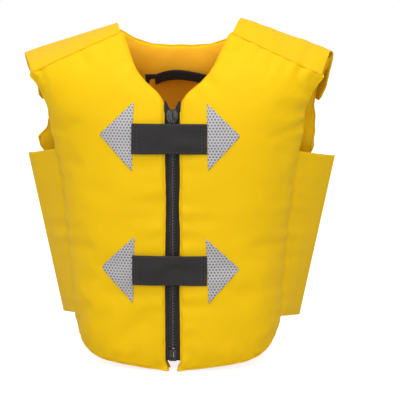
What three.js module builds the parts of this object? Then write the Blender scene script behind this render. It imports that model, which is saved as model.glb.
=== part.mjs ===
// A child's front-opening buoyancy vest: foam panels in fabric covers, a separating zip, two
// hook-and-loop bands across it, and shoulder and side flaps that close on the back.
// Millimetres, +Z up. The wearer faces -Y and the wearer's left is +X. The origin is on the
// middle line at the height of the lowest hem.
import * as THREE from "three";

// ---------------------------------------------------------------- driving dimensions
const PANEL_THICKNESS = 25; // cover, foam and lining together
const FABRIC = 1; // coated fabric with its seam allowance
const SEAM_GAP = 0.4; // between pieces that are sewn or stuck face to face
const EDGE_SOFTNESS = 6; // how far a cover's front edge is rounded off
const SQUARENESS = 2.6; // exponent of the body's cross-section: 2 is an ellipse

// The outer surface at seven heights: each panel's half width, and its depth from the side plane.
const STATIONS = [
  { z: 0, front: { half: 121, depth: 93 }, back: { half: 121, depth: 86 } },
  { z: 60, front: { half: 124.5, depth: 95 }, back: { half: 126, depth: 93 } },
  { z: 150, front: { half: 133.5, depth: 96 }, back: { half: 139, depth: 97 } },
  { z: 240, front: { half: 147, depth: 95.5 }, back: { half: 155, depth: 92 } },
  { z: 290, front: { half: 164, depth: 92 }, back: { half: 165, depth: 76 } },
  { z: 330, front: { half: 190, depth: 76 }, back: { half: 180, depth: 48 } },
  { z: 380, front: { half: 206, depth: 38 }, back: { half: 196, depth: 10 } },
];

const ZIP_HALF = 9; // from the middle line to each front panel's edge
const ZIP_TOP = 300;
const ZIP_FOOT = 15;
const ZIP_PLANE = -87; // the tapes' middle, in Y
const TOOTH_PITCH = 3.4;
const SIDE_FOOT = 50; // a side seam's lowest and highest point
const SIDE_TOP = 242;
// Along the girth, from the side plane to a panel's side edge at those two heights.
const FRONT_OPENING = { foot: 34, top: 43 };
const BACK_OPENING = { foot: 12, top: 7 };

const NECK_END = { x: 62, z: 370 }; // the inner end of a front panel's shoulder seam
const SHOULDER_END = { opening: 58, z: 325 }; // its outer end
const BACK_NECK_END = { x: 73, z: 377 };
const BACK_SHOULDER_END = { opening: 19, z: 342 };
const BACK_NECK_DIP = 357;

const FLAP_THICKNESS = 2;
const FLAP_TAIL_DROP = 54; // how far a shoulder flap reaches down the back
const SIDE_FOLD_FOOT = new THREE.Vector3(136.5, 12, 44);
const SIDE_FOLD_TOP = new THREE.Vector3(175.2, 12, 229.5);
const FOLD_GAP = 0.06; // as a share of the way from the fold to a seam
const MEETS_BACK = 52; // along the girth, from the side plane to where a side flap meets the back
const SIDE_TAIL_REACH = 104; // and to its end

const BANDS = { upper: 259.5, lower: 114.5 }; // the two bands' middle heights
const BAND_WIDTH = 33;
const BAND_FREE_END = -42;
const BAND_SEWN_END = 38;
const BAND_THICKNESS = 1.6;
const PATCH_BASE = 71; // the long side of a reflective triangle
const PATCH_REACH = 35.5;
const TAPE_THICKNESS = 1; // hook tape and loop tape
const LOOP_OFF = 0.8; // a loop tape, the hook tape on it and the flap over both, off the cover
const HOOK_OFF = 2.3;
const FLAP_OFF = 4.3;

const TEETH = 77; // in each row
const TEETH_FOOT = 25;
const SPINE_NEAR = 2.1; // a tooth row's solid edge, in X
const SPINE_FAR = 4;
const TOOTH_REACH = 1.7; // past the middle line
const TOOTH_HALF = 1.5; // half a tooth's thickness in Y
const SLIDER_REST = 283.5; // the slider's middle height

const LOOP_HALF = 30; // the hanger loop's free part
const LOOP_HEIGHT = 330.5;
const LOOP_WIDTH = 12.5;
const LOOP_THICKNESS = 1.6;
const LOOP_RISE = 11;
const LOOP_STANDOFF = 9;
const LOOP_LIFT = 1.8; // where the free part leaves its sewn ends

// ---------------------------------------------------------------- colours
const finish = (color, roughness, metalness = 0) => ({ color, roughness, metalness });
const YELLOW = finish(0xf2cb14, 0.62);
const LINING = finish(0xe9ab1c, 0.7);
const FOAM = finish(0xf3f0e6, 0.9);
const WEBBING = finish(0x333335, 0.75);
const HOOK_TAPE = finish(0x202022, 0.95);
const LOOP_TAPE = finish(0xe3bd22, 0.98);
const REFLECTIVE = finish(0xbdbbc8, 0.35, 0.1);
const ZIP_TAPE = finish(0x2c2a2b, 0.85);
const ZIP_PLASTIC = finish(0x1d1d1f, 0.35);
const SLIDER_METAL = finish(0x29292b, 0.3, 0.8);

// ---------------------------------------------------------------- the body's surface
const between = new THREE.CubicInterpolant(
  STATIONS.map((s) => s.z),
  STATIONS.flatMap((s) => [s.front.half, s.front.depth, s.back.half, s.back.depth]),
  4,
);

// A quarter of the cross-section at one height, from the middle of the front or back to the side.
class Quarter extends THREE.Curve {
  constructor(face, z) {
    super();
    const [frontHalf, frontDepth, backHalf, backDepth] = between.evaluate(z);
    this.z = z;
    this.half = face === "front" ? frontHalf : backHalf;
    this.depth = face === "front" ? -frontDepth : backDepth;
  }
  getPoint(t, target = new THREE.Vector3()) {
    const angle = (t * Math.PI) / 2;
    const x = this.half * Math.sin(angle) ** (2 / SQUARENESS);
    const y = this.depth * Math.max(Math.cos(angle), 0) ** (2 / SQUARENESS);
    return target.set(x, y, this.z);
  }
}

const girth = (face, z) => new Quarter(face, z).getLength();

// The point of the surface at a signed distance along the girth from the middle line.
function skin(face, along, z) {
  const quarter = new Quarter(face, z);
  const share = Math.min(Math.abs(along) / quarter.getLength(), 1);
  const point = quarter.getPointAt(share);
  point.x *= Math.sign(along) || 1;
  return point;
}

// The same point, moved out along the surface's normal.
function off(face, along, z, distance) {
  const step = 0.6;
  const across = skin(face, along + step, z).sub(skin(face, along - step, z));
  const up = skin(face, along, z + step).sub(skin(face, along, z - step));
  const normal = across.cross(up).normalize();
  if (face === "back") normal.negate();
  return skin(face, along, z).addScaledVector(normal, distance);
}

const at = (x, z) => new THREE.Vector2(x, z);
const fromSide = (face, opening, z) => at(girth(face, z) - opening, z);
const straight = (a, b) => new THREE.LineCurve(a, b);
const spline = (...points) => new THREE.SplineCurve(points);

// Curves run one after another, each over its own share of the way from 0 to 1.
function chain(curves, breaks) {
  const ends = [0, ...breaks, 1];
  return (t) => {
    const k = Math.min(ends.filter((e) => e <= t).length - 1, curves.length - 1);
    return curves[k].getPointAt((t - ends[k]) / (ends[k + 1] - ends[k]));
  };
}

// A patch between four edges, each a function of a share of its length.
function coons(foot, top, left, right) {
  const corners = [foot(0), foot(1), top(0), top(1)];
  return (u, v) => {
    const p = new THREE.Vector2();
    p.addScaledVector(foot(u), 1 - v).addScaledVector(top(u), v);
    p.addScaledVector(left(v), 1 - u).addScaledVector(right(v), u);
    p.addScaledVector(corners[0], -(1 - u) * (1 - v)).addScaledVector(corners[1], -u * (1 - v));
    return p.addScaledVector(corners[2], -(1 - u) * v).addScaledVector(corners[3], -u * v);
  };
}

// ---------------------------------------------------------------- closed meshes
const grid = (nu, nv, pointAt) =>
  Array.from({ length: nv + 1 }, (_, j) =>
    Array.from({ length: nu + 1 }, (_, i) => pointAt(i / nu, j / nv)),
  );

function rimOf(rows) {
  const last = rows.length - 1;
  const end = rows[0].length - 1;
  return [
    ...rows[0].slice(0, end),
    ...rows.slice(0, last).map((row) => row[end]),
    ...rows[last].slice(1).reverse(),
    ...rows.slice(1).map((row) => row[0]).reverse(),
  ];
}

// A closed body from a face, any number of loops round its rim, and a second face.
function bodyBetween(first, loops, second) {
  const corners = [];
  const face = (rows, flip) => {
    for (let j = 0; j + 1 < rows.length; j++)
      for (let i = 0; i + 1 < rows[j].length; i++) {
        const [a, b, c, d] = [rows[j][i], rows[j][i + 1], rows[j + 1][i + 1], rows[j + 1][i]];
        corners.push(...(flip ? [a, c, b, a, d, c] : [a, b, c, a, c, d]));
      }
  };
  const walls = [rimOf(first), ...loops, rimOf(second)];
  face(first, false);
  walls.slice(1).forEach((low, k) => {
    const high = walls[k];
    low.forEach((p, i) => {
      const n = (i + 1) % low.length;
      corners.push(high[n], high[i], p, high[n], p, low[n]);
    });
  });
  face(second, true);
  const geometry = new THREE.BufferGeometry().setFromPoints(corners);
  if (volumeOf(corners) < 0) {
    const turned = [];
    for (let i = 0; i < corners.length; i += 3) {
      turned.push(corners[i], corners[i + 2], corners[i + 1]);
    }
    geometry.setFromPoints(turned);
  }
  geometry.computeVertexNormals();
  return geometry;
}

function volumeOf(corners) {
  let sum = 0;
  for (let i = 0; i < corners.length; i += 3)
    sum += corners[i].dot(corners[i + 1].clone().cross(corners[i + 2]));
  return sum / 6;
}

// A sheet between two heights above a surface whose points are given for each height.
const layered = (pointAt, nu, nv, low, high) => {
  const layer = (height) => grid(nu, nv, (u, v) => pointAt(u, v, height));
  return bodyBetween(layer(high), [], layer(low));
};

// ---------------------------------------------------------------- the scene
const vest = new THREE.Group();

function add(name, geometry, look) {
  const mesh = new THREE.Mesh(geometry, new THREE.MeshStandardMaterial(look));
  mesh.name = name;
  vest.add(mesh);
  return mesh;
}

// A box given by its lowest and highest corner.
function block(low, high) {
  const box = new THREE.Box3(new THREE.Vector3(...low), new THREE.Vector3(...high));
  const size = box.getSize(new THREE.Vector3());
  const centre = box.getCenter(new THREE.Vector3());
  return new THREE.BoxGeometry(size.x, size.y, size.z).translate(centre.x, centre.y, centre.z);
}

// An outline in X and Z, with a thickness in Y from near to far.
function plate(outline, near, far) {
  const geometry = new THREE.ExtrudeGeometry(outline, { depth: far - near, bevelEnabled: false });
  return geometry.rotateX(Math.PI / 2).translate(0, far, 0);
}

const onSide = (point, side) => point.multiply(new THREE.Vector3(side, 1, 1));

// ---------------------------------------------------------------- panels
const sideEdge = (face, opening) =>
  straight(fromSide(face, opening.foot, SIDE_FOOT), fromSide(face, opening.top, SIDE_TOP));
const frontEdgeOfSide = sideEdge("front", FRONT_OPENING);
const frontFoot = spline(at(4.5, 0), at(44, 4), at(80, 9), at(113, 23), frontEdgeOfSide.v1);
const frontEdge = chain(
  [
    spline(at(4.5, 0), at(ZIP_HALF - 0.6, 7), at(ZIP_HALF, 14)),
    straight(at(ZIP_HALF, 14), at(ZIP_HALF, 294)),
    spline(
      at(ZIP_HALF, 294), at(13, 303), at(24, 312), at(34, 321), at(44, 333), at(52, 349),
      at(NECK_END.x, NECK_END.z),
    ),
  ],
  [1 / 14, 10 / 14],
);
const frontSide = chain(
  [
    frontEdgeOfSide,
    spline(
      frontEdgeOfSide.v2,
      fromSide("front", 47, 262),
      fromSide("front", 60, 291),
      fromSide("front", SHOULDER_END.opening, SHOULDER_END.z),
    ),
  ],
  [0.66],
);
const frontTop = straight(
  at(NECK_END.x, NECK_END.z),
  fromSide("front", SHOULDER_END.opening, SHOULDER_END.z),
);
const frontPatch = coons(
  (u) => frontFoot.getPointAt(u),
  (u) => frontTop.getPointAt(u),
  frontEdge,
  frontSide,
);

const flip = (curve) => (t) => curve(t).multiply(at(-1, 1));
const backEdgeOfSide = sideEdge("back", BACK_OPENING);
const backSide = chain(
  [
    backEdgeOfSide,
    spline(
      backEdgeOfSide.v2,
      fromSide("back", 11, 258),
      fromSide("back", 33, 282),
      fromSide("back", 36, 308),
      fromSide("back", BACK_SHOULDER_END.opening, BACK_SHOULDER_END.z),
    ),
  ],
  [0.62],
);
const backCorner = backSide(0);
const backFoot = spline(
  at(-backCorner.x, backCorner.y), at(-112, 22), at(-60, 5), at(0, 2), at(60, 5), at(112, 22), backCorner,
);
const backShoulder = [at(BACK_NECK_END.x, BACK_NECK_END.z), backSide(1)];
const backNeck = spline(
  at(-BACK_NECK_END.x, BACK_NECK_END.z), at(-50, 363), at(-28, BACK_NECK_DIP), at(0, BACK_NECK_DIP - 1),
  at(28, BACK_NECK_DIP), at(50, 363), at(BACK_NECK_END.x, BACK_NECK_END.z),
);
const backTop = chain(
  [
    straight(flip(() => backShoulder[1].clone())(), flip(() => backShoulder[0].clone())()),
    backNeck,
    straight(...backShoulder),
  ],
  [0.3, 0.7],
);
const backPatch = coons((u) => backFoot.getPointAt(u), backTop, flip(backSide), backSide);

// A panel is a tray-shaped cover, the foam in it, and the lining that closes it.
function panel(name, face, patch, [nu, nv], [width, height], side = 1) {
  const inset = (t, share) => Math.min(Math.max(t, share), 1 - share);
  const layer = (distance, margin = 0) =>
    grid(nu, nv, (u, v) => {
      const p = patch(inset(u, margin / width), inset(v, margin / height));
      return onSide(off(face, p.x, p.y, distance), side);
    });
  const inner = -PANEL_THICKNESS + FABRIC + SEAM_GAP;
  const cover = bodyBetween(
    layer(0, EDGE_SOFTNESS),
    [
      rimOf(layer(-EDGE_SOFTNESS)),
      rimOf(layer(inner)),
      rimOf(layer(inner, FABRIC)),
      rimOf(layer(-EDGE_SOFTNESS, FABRIC)),
    ],
    layer(-FABRIC, EDGE_SOFTNESS),
  );
  const foamMargin = FABRIC + 10 * SEAM_GAP;
  const foam = bodyBetween(
    layer(-FABRIC - SEAM_GAP, EDGE_SOFTNESS + SEAM_GAP),
    [rimOf(layer(-EDGE_SOFTNESS - SEAM_GAP, foamMargin))],
    layer(inner, 1.4 * foamMargin),
  );
  const lining = bodyBetween(layer(inner - SEAM_GAP), [], layer(-PANEL_THICKNESS));
  add(`${name}_cover`, cover, YELLOW);
  add(`${name}_foam`, foam, FOAM);
  add(`${name}_lining`, lining, LINING);
}

panel("front_left", "front", frontPatch, [8, 14], [175, 330]);
panel("front_right", "front", frontPatch, [8, 14], [175, 330], -1);
panel("back", "back", backPatch, [20, 12], [350, 350]);

// ---------------------------------------------------------------- shoulder flaps
// From the front's shoulder seam over the top, folded at the back's edge, and down the back.
const shoulderSeam = (u, height) => {
  const p = frontTop.getPointAt(u);
  return off("front", p.x, p.y, height).add(new THREE.Vector3(0, 0, 1.2));
};
const shoulderFold = (u, height) => {
  const p = backShoulder[0].clone().lerp(backShoulder[1], u);
  return off("back", p.x, p.y, height);
};
const strapPoint = (u, v, height) => {
  const end = shoulderFold(u, 0).add(new THREE.Vector3(0, -2, 2 + height));
  return shoulderSeam(u, height).lerp(end, v);
};
const tailPoint = (start, reach, margin) => (u, v, height) => {
  const p = backShoulder[0].clone().lerp(backShoulder[1], margin + u * (1 - 2 * margin));
  const drop = THREE.MathUtils.lerp(start, reach, v);
  return off("back", p.x - 0.06 * drop, p.y - drop, height);
};

function shoulder(name, side) {
  const on = (pointAt, low, thickness) =>
    layered((u, v, height) => onSide(pointAt(u, v, height), side), 8, 4, low, low + thickness);
  const reach = FLAP_TAIL_DROP;
  add(`shoulder_strap_${name}`, on(strapPoint, 0, FLAP_THICKNESS), YELLOW);
  const tail = on(tailPoint(0.6, reach, 0), FLAP_OFF, FLAP_THICKNESS);
  const hooks = on(tailPoint(22, reach - 4, 0.12), HOOK_OFF, TAPE_THICKNESS);
  const loops = on(tailPoint(18, reach + 14, 0.1), LOOP_OFF, TAPE_THICKNESS);
  add(`shoulder_flap_${name}`, tail, YELLOW);
  add(`shoulder_hook_tape_${name}`, hooks, HOOK_TAPE);
  add(`shoulder_loop_tape_${name}`, loops, LOOP_TAPE);
}

// ---------------------------------------------------------------- side flaps
const alongSide = (low, high, v) => THREE.MathUtils.lerp(low, high, v);
const sideSeam = (v, height) => {
  const p = frontEdgeOfSide.getPointAt(0.005 + 0.99 * v);
  return off("front", p.x + 0.8, p.y, height);
};
const sideFold = (v, height) => {
  return SIDE_FOLD_FOOT.clone().lerp(SIDE_FOLD_TOP, v).add(new THREE.Vector3(height, 0, 0));
};
const sideFront = (u, v, height) =>
  sideSeam(v, height).lerp(sideFold(v, height), u * (1 - FOLD_GAP));
const onBack = (opening, v, height) => {
  const z = alongSide(SIDE_FOLD_FOOT.z + 2, SIDE_FOLD_TOP.z - 2, v);
  return off("back", girth("back", z) - opening, z, height);
};
// The tail runs straight from the fold to where it meets the back, then along it.
const sideTail = (u, v, height) => {
  const turn = 0.4;
  const from = sideFold(v, height);
  if (u < turn) {
    const share = FOLD_GAP + ((1 - FOLD_GAP) * u) / turn;
    return from.lerp(onBack(MEETS_BACK, v, height + FLAP_OFF), share);
  }
  const opening = THREE.MathUtils.mapLinear(u, turn, 1, MEETS_BACK, SIDE_TAIL_REACH);
  return onBack(opening, v, height + FLAP_OFF);
};

function sideFlap(name, side) {
  const on = (pointAt, nu, low, thickness) =>
    layered((u, v, height) => onSide(pointAt(u, v, height), side), nu, 5, low, low + thickness);
  const tape = (near, far, margin) => (u, v, height) =>
    onBack(THREE.MathUtils.lerp(near, far, u), margin + v * (1 - 2 * margin), height);
  const hooks = tape(MEETS_BACK + 12, SIDE_TAIL_REACH - 4, 0.06);
  const loops = tape(MEETS_BACK + 8, SIDE_TAIL_REACH + 14, 0.04);
  add(`side_flap_front_${name}`, on(sideFront, 2, 0, FLAP_THICKNESS), YELLOW);
  add(`side_flap_${name}`, on(sideTail, 10, 0, FLAP_THICKNESS), YELLOW);
  add(`side_hook_tape_${name}`, on(hooks, 6, HOOK_OFF, TAPE_THICKNESS), HOOK_TAPE);
  add(`side_loop_tape_${name}`, on(loops, 8, LOOP_OFF, TAPE_THICKNESS), LOOP_TAPE);
}

for (const [name, side] of [["left", 1], ["right", -1]]) {
  shoulder(name, side);
  sideFlap(name, side);
}

// ---------------------------------------------------------------- bands and reflective triangles
const onFront = (x0, x1, z0, z1) => (u, v, height) =>
  off("front", THREE.MathUtils.lerp(x0, x1, u), THREE.MathUtils.lerp(z0, z1, v), height);
const triangle = (side, middle) => (u, v, height) => {
  const halfHeight = (PATCH_BASE / 2) * (1 - 0.98 * u);
  const near = (side > 0 ? BAND_SEWN_END : -BAND_FREE_END) + 0.6;
  const along = near + PATCH_REACH * u;
  return onSide(off("front", along, middle + (2 * v - 1) * halfHeight, height), side);
};

for (const [name, middle] of Object.entries(BANDS)) {
  const [low, high] = [middle - BAND_WIDTH / 2, middle + BAND_WIDTH / 2];
  const strip = (x0, x1, inset, from, thick) =>
    layered(onFront(x0, x1, low + inset, high - inset), 4, 2, from, from + thick);
  const patch = (side) => layered(triangle(side, middle), 4, 4, LOOP_OFF, LOOP_OFF + 0.9);
  const hooks = strip(BAND_FREE_END + 6, -14, 3, HOOK_OFF, TAPE_THICKNESS);
  const loops = strip(BAND_FREE_END + 5, -12, 2, LOOP_OFF, TAPE_THICKNESS);
  add(`${name}_band`, strip(BAND_FREE_END, BAND_SEWN_END, 0, FLAP_OFF, BAND_THICKNESS), WEBBING);
  add(`${name}_band_hook_tape`, hooks, HOOK_TAPE);
  add(`${name}_band_loop_tape`, loops, HOOK_TAPE);
  add(`${name}_triangle_left`, patch(1), REFLECTIVE);
  add(`${name}_triangle_right`, patch(-1), REFLECTIVE);
}

// ---------------------------------------------------------------- zip
// A row of teeth that reach over the middle line into the gaps of the other row.
function toothRow(side, first) {
  const tall = TOOTH_PITCH / 2 - 0.3;
  const top = first + TEETH * TOOTH_PITCH;
  const corners = [[SPINE_FAR, top], [SPINE_FAR, first], [SPINE_NEAR, first]];
  for (let k = 0; k < TEETH; k++) {
    const z = first + k * TOOTH_PITCH + 0.3;
    const [low, high] = [z, z + tall];
    corners.push([SPINE_NEAR, low], [-TOOTH_REACH, low], [-TOOTH_REACH, high], [SPINE_NEAR, high]);
  }
  corners.push([SPINE_NEAR, top]);
  return outline(corners, side);
}

// An outline from corners in X and Z, mirrored for the right side.
function outline(corners, side = 1) {
  const ordered = side > 0 ? corners : [...corners].reverse();
  return new THREE.Shape(ordered.map(([x, z]) => at(side * x, z)));
}

const rows = { left: [1, TEETH_FOOT], right: [-1, TEETH_FOOT + TOOTH_PITCH / 2] };
const centred = (half) => [ZIP_PLANE - half, ZIP_PLANE + half];
for (const [name, [side, first]] of Object.entries(rows)) {
  const [near, far] = [SPINE_FAR + 0.3, ZIP_HALF - 0.3];
  const tape = [[near, ZIP_FOOT], [far, ZIP_FOOT], [far, ZIP_TOP], [near, ZIP_TOP]];
  const stop = first + TEETH * TOOTH_PITCH + 0.4;
  const stopCorners = [
    [SPINE_NEAR, stop], [SPINE_FAR, stop], [SPINE_FAR, stop + 4], [SPINE_NEAR, stop + 4],
  ];
  add(`zip_tape_${name}`, plate(outline(tape, side), ...centred(0.5)), ZIP_TAPE);
  add(`zip_teeth_${name}`, plate(toothRow(side, first), ...centred(TOOTH_HALF)), ZIP_PLASTIC);
  add(`zip_top_stop_${name}`, plate(outline(stopCorners, side), ...centred(TOOTH_HALF)), ZIP_PLASTIC);
}
// The box on the left tape is a C that the right tape's pin drops into.
const boxOutline = outline([
  [SPINE_FAR, 11], [SPINE_FAR, 24], [-SPINE_FAR, 24], [-SPINE_FAR, 21],
  [0.9, 21], [0.9, 14], [-SPINE_FAR, 14], [-SPINE_FAR, 11],
].reverse());
add("zip_box", plate(boxOutline, ...centred(2.2)), ZIP_PLASTIC);
add("zip_pin", block([-SPINE_FAR, ZIP_PLANE - 1.2, 14.5], [0.4, ZIP_PLANE + 1.2, 20.5]), ZIP_PLASTIC);

// The slider stands just under the stops: a plate before the teeth and one behind.
const face = ZIP_PLANE - TOOTH_HALF - 0.4;
const rear = ZIP_PLANE + TOOTH_HALF + 0.4;
const sliderCorners = [
  [-3.4, -7], [3.4, -7], [5.6, -3], [6.4, 3], [4.8, 7], [-4.8, 7], [-6.4, 3], [-5.6, -3],
];
const sliderShape = outline(sliderCorners.map(([x, z]) => [x, z + SLIDER_REST]));
add("zip_slider", plate(sliderShape, face - 1.6, face), SLIDER_METAL);
add("zip_slider_back", plate(sliderShape, rear, rear + 1.4), SLIDER_METAL);

// The bridge is a C seen from the side, and the pull's ring hangs on its lower leg.
const bridgeFoot = face - 1.6 - SEAM_GAP;
const bridgeCorners = [
  [0, -5.2], [5.2, -5.2], [5.2, 5.2], [0, 5.2], [0, 4.2], [4.2, 4.2], [4.2, -4.2], [0, -4.2],
];
const bridgeShape = new THREE.Shape(bridgeCorners.map(([out, z]) => at(out, z)));
const bridge = new THREE.ExtrudeGeometry(bridgeShape, { depth: 1.4, bevelEnabled: false });
bridge.rotateX(Math.PI / 2).rotateZ(-Math.PI / 2).translate(0.7, bridgeFoot, SLIDER_REST);
add("zip_slider_bridge", bridge, SLIDER_METAL);

const ring = SLIDER_REST - 4.7; // the lower leg's middle
const pullShape = outline([
  [-2.4, ring - 7.4], [-1.5, ring - 8.3], [1.5, ring - 8.3], [2.4, ring - 7.4],
  [2.9, ring - 3], [2.6, ring + 2.2], [1.8, ring + 2.8],
  [-1.8, ring + 2.8], [-2.6, ring + 2.2], [-2.9, ring - 3],
]);
const pullEye = [at(-1.5, ring - 3.5), at(-1.5, ring + 1.6), at(1.5, ring + 1.6), at(1.5, ring - 3.5)];
pullShape.holes.push(new THREE.Path(pullEye));
add("zip_pull", plate(pullShape, bridgeFoot - 3.4, bridgeFoot - 2.2), SLIDER_METAL);

// ---------------------------------------------------------------- hanger loop
const loopPoint = (from, to) => (u, v, height) => {
  const along = THREE.MathUtils.lerp(from, to, u);
  const bow = Math.cos((Math.min(Math.abs(along), LOOP_HALF) / LOOP_HALF) * (Math.PI / 2));
  const z = LOOP_HEIGHT + LOOP_RISE * bow + (v - 0.5) * LOOP_WIDTH;
  return off("back", along, z, -PANEL_THICKNESS - 3 * SEAM_GAP - LOOP_STANDOFF * bow - height);
};
const loop = layered(loopPoint(-LOOP_HALF, LOOP_HALF), 8, 1, LOOP_LIFT, LOOP_LIFT + LOOP_THICKNESS);
add("hanger_loop", loop, WEBBING);
for (const [name, side] of [["left", 1], ["right", -1]]) {
  const ends = [side * (LOOP_HALF + 0.5), side * (LOOP_HALF + 11.5)];
  add(`hanger_tab_${name}`, layered(loopPoint(...ends), 1, 1, 0, LOOP_THICKNESS), WEBBING);
}

export default vest;
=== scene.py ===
"""A child's front-opening foam buoyancy vest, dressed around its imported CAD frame.

Lengths are in millimetres until a mesh is made. +Z is up, the wearer faces -Y and their left is +X.
"""

import math

import bpy
import numpy as np
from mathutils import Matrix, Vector
from mathutils.bvhtree import BVHTree


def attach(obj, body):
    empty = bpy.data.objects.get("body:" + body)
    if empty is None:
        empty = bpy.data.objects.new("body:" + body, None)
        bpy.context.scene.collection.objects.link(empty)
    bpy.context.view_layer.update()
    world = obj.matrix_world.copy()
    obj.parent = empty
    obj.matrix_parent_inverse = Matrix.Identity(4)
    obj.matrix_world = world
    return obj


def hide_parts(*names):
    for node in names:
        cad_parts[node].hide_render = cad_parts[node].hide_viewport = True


MM = 0.001
TAU = 2 * math.pi
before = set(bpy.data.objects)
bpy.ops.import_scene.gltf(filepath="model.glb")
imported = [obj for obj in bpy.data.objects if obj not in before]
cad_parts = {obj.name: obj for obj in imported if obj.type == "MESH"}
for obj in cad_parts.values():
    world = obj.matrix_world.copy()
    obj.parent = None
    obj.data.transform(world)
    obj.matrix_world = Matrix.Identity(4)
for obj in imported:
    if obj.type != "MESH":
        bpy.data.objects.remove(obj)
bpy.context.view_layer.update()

# ---------------------------------------------------------------- the CAD's dimensions
PANEL_THICKNESS = 25.0
SQUARENESS = 2.6
# Height, then each panel's half width and depth from the side plane: front, then back.
STATIONS = np.array([
    (0, 121, 93, 121, 86),
    (60, 124.5, 95, 126, 93),
    (150, 133.5, 96, 139, 97),
    (240, 147, 95.5, 155, 92),
    (290, 164, 92, 165, 76),
    (330, 190, 76, 180, 48),
    (380, 206, 38, 196, 10),
], float)
ZIP_HALF, ZIP_PLANE, ZIP_FOOT, ZIP_TOP = 9.0, -87.0, 11.5, 300.0
TOOTH_PITCH, TEETH, TEETH_FOOT = 3.4, 77, 25.0
SIDE_FOOT, SIDE_TOP = 50.0, 242.0
FRONT_OPENING, BACK_OPENING = (34.0, 43.0), (12.0, 7.0)
NECK_END = (62.0, 372.0)
BACK_NECK_END = (73.0, 377.0)
FOLD_FOOT, FOLD_TOP = np.array((136.5, 12, 44.0)), np.array((175.2, 12, 229.5))
MEETS_BACK, SIDE_TAIL_REACH = 52.0, 104.0
BANDS = {"upper": 259.5, "lower": 114.5}
BAND_WIDTH, BAND_FREE_END, BAND_SEWN_END = 33.0, -43.4, 38.2
SIDES = {"left": 1, "right": -1}
PATCH_BASE, PATCH_REACH, PATCH_NEAR = {1: 73.0, -1: 75.0}, {1: 34.5, -1: 36.5}, {1: 38.6, -1: 42.6}
PATCH_RAISED, PATCH_SKEW = {"upper": 1.8, "lower": -0.4}, {"upper": 0.7, "lower": 1.5}
LOOP_HALF, LOOP_HEIGHT, LOOP_WIDTH, LOOP_RISE, LOOP_STANDOFF = 30.0, 330.5, 12.0, 13.0, 9.0
# The straps lie unevenly: how far each one's fold moves outward at the neck and at the arm, its height,
# and how high the strap stands before it.
FOLD_NECK, FOLD_ARM = {1: -1.5, -1: -1.8}, {1: -3.5, -1: 3.2}
FOLD_HIGH, STRAP_HIGH = {1: 3.2, -1: 0.8}, {1: (4.8, 8.2), -1: (3.2, 2.4)}


# ---------------------------------------------------------------- the body's surface
def station(z):
    """The four sizes at each height: a cubic through the stations."""
    zs, values = STATIONS[:, 0], STATIONS[:, 1:]
    z = np.clip(z, zs[0], zs[-1])
    hi = np.clip(np.searchsorted(zs, z, side="right"), 1, len(zs) - 1)
    lo = hi - 1
    before = np.where(lo > 0, lo - 1, hi)
    after = np.where(hi < len(zs) - 1, np.minimum(hi + 1, len(zs) - 1), lo)
    half = (zs[hi] - zs[lo]) / 2
    wb, wa = half / (zs[lo] - zs[before]), half / (zs[after] - zs[hi])
    p = (z - zs[lo]) / (zs[hi] - zs[lo])
    weights = (
        -wb * p**3 + 2 * wb * p**2 - wb * p,
        (1 + wb) * p**3 + (-1.5 - 2 * wb) * p**2 + (-0.5 + wb) * p + 1,
        (-1 - wa) * p**3 + (1.5 + wa) * p**2 + 0.5 * p,
        wa * p**3 - wa * p**2,
    )
    return sum(w[:, None] * values[k] for w, k in zip(weights, (before, lo, hi, after)))


TABLE_FOOT, TABLE_TOP, TABLE_REACH = -12, 400, 330


def section_table(face):
    """The section's x and y at each whole millimetre of height and of girth, and the girths themselves."""
    sizes = station(np.arange(TABLE_FOOT, TABLE_TOP + 1, dtype=float))
    half, depth = (sizes[:, 0], -sizes[:, 1]) if face == "front" else (sizes[:, 2], sizes[:, 3])
    angle = np.linspace(0, math.pi / 2, 201)
    x = half[:, None] * np.sin(angle) ** (2 / SQUARENESS)
    y = depth[:, None] * np.maximum(np.cos(angle), 0) ** (2 / SQUARENESS)
    steps = np.hypot(np.diff(x), np.diff(y))
    length = np.concatenate([np.zeros((len(x), 1)), np.cumsum(steps, 1)], 1)
    along = np.arange(TABLE_REACH + 1, dtype=float)
    xs = np.array([np.interp(along, s, row) for s, row in zip(length, x)])
    ys = np.array([np.interp(along, s, row) for s, row in zip(length, y)])
    return xs, ys, length[:, -1]


SECTIONS = {face: section_table(face) for face in ("front", "back")}


def skin(face, s, z):
    """Points of the surface at signed distances s along the girth, at heights z."""
    xs, ys, _ = SECTIONS[face]
    s, z = np.broadcast_arrays(np.asarray(s, float), np.asarray(z, float))
    row = np.clip(z - TABLE_FOOT, 0, len(xs) - 1.001)
    col = np.clip(np.abs(s), 0, TABLE_REACH - 0.001)
    i, j = row.astype(int), col.astype(int)
    a, b = row - i, col - j

    def mixed(t):
        low = t[i, j] * (1 - b) + t[i, j + 1] * b
        return low * (1 - a) + (t[i + 1, j] * (1 - b) + t[i + 1, j + 1] * b) * a

    return np.stack([mixed(xs) * np.where(s < 0, -1, 1), mixed(ys), z], -1)


def unit(v):
    return v / np.maximum(np.linalg.norm(v, axis=-1, keepdims=True), 1e-9)


def outward(face, s, z, step=2.0):
    across = skin(face, s + step, z) - skin(face, s - step, z)
    up = skin(face, s, z + step) - skin(face, s, z - step)
    return unit(np.cross(across, up)) * (1 if face == "front" else -1)


def off(face, s, z, height):
    height = np.asarray(height, float)
    return skin(face, s, z) + outward(face, s, z) * height[..., None]


def girth(face, z):
    return np.interp(z, np.arange(TABLE_FOOT, TABLE_TOP + 1), SECTIONS[face][2])


def from_side(face, opening, z):
    return (float(girth(face, z)) - opening, z)


# ---------------------------------------------------------------- edges in the panel's own plane
def lengths(path):
    """How far along a path each of its points lies."""
    return np.concatenate([[0], np.cumsum(np.linalg.norm(np.diff(path, axis=0), axis=1))])


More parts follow.
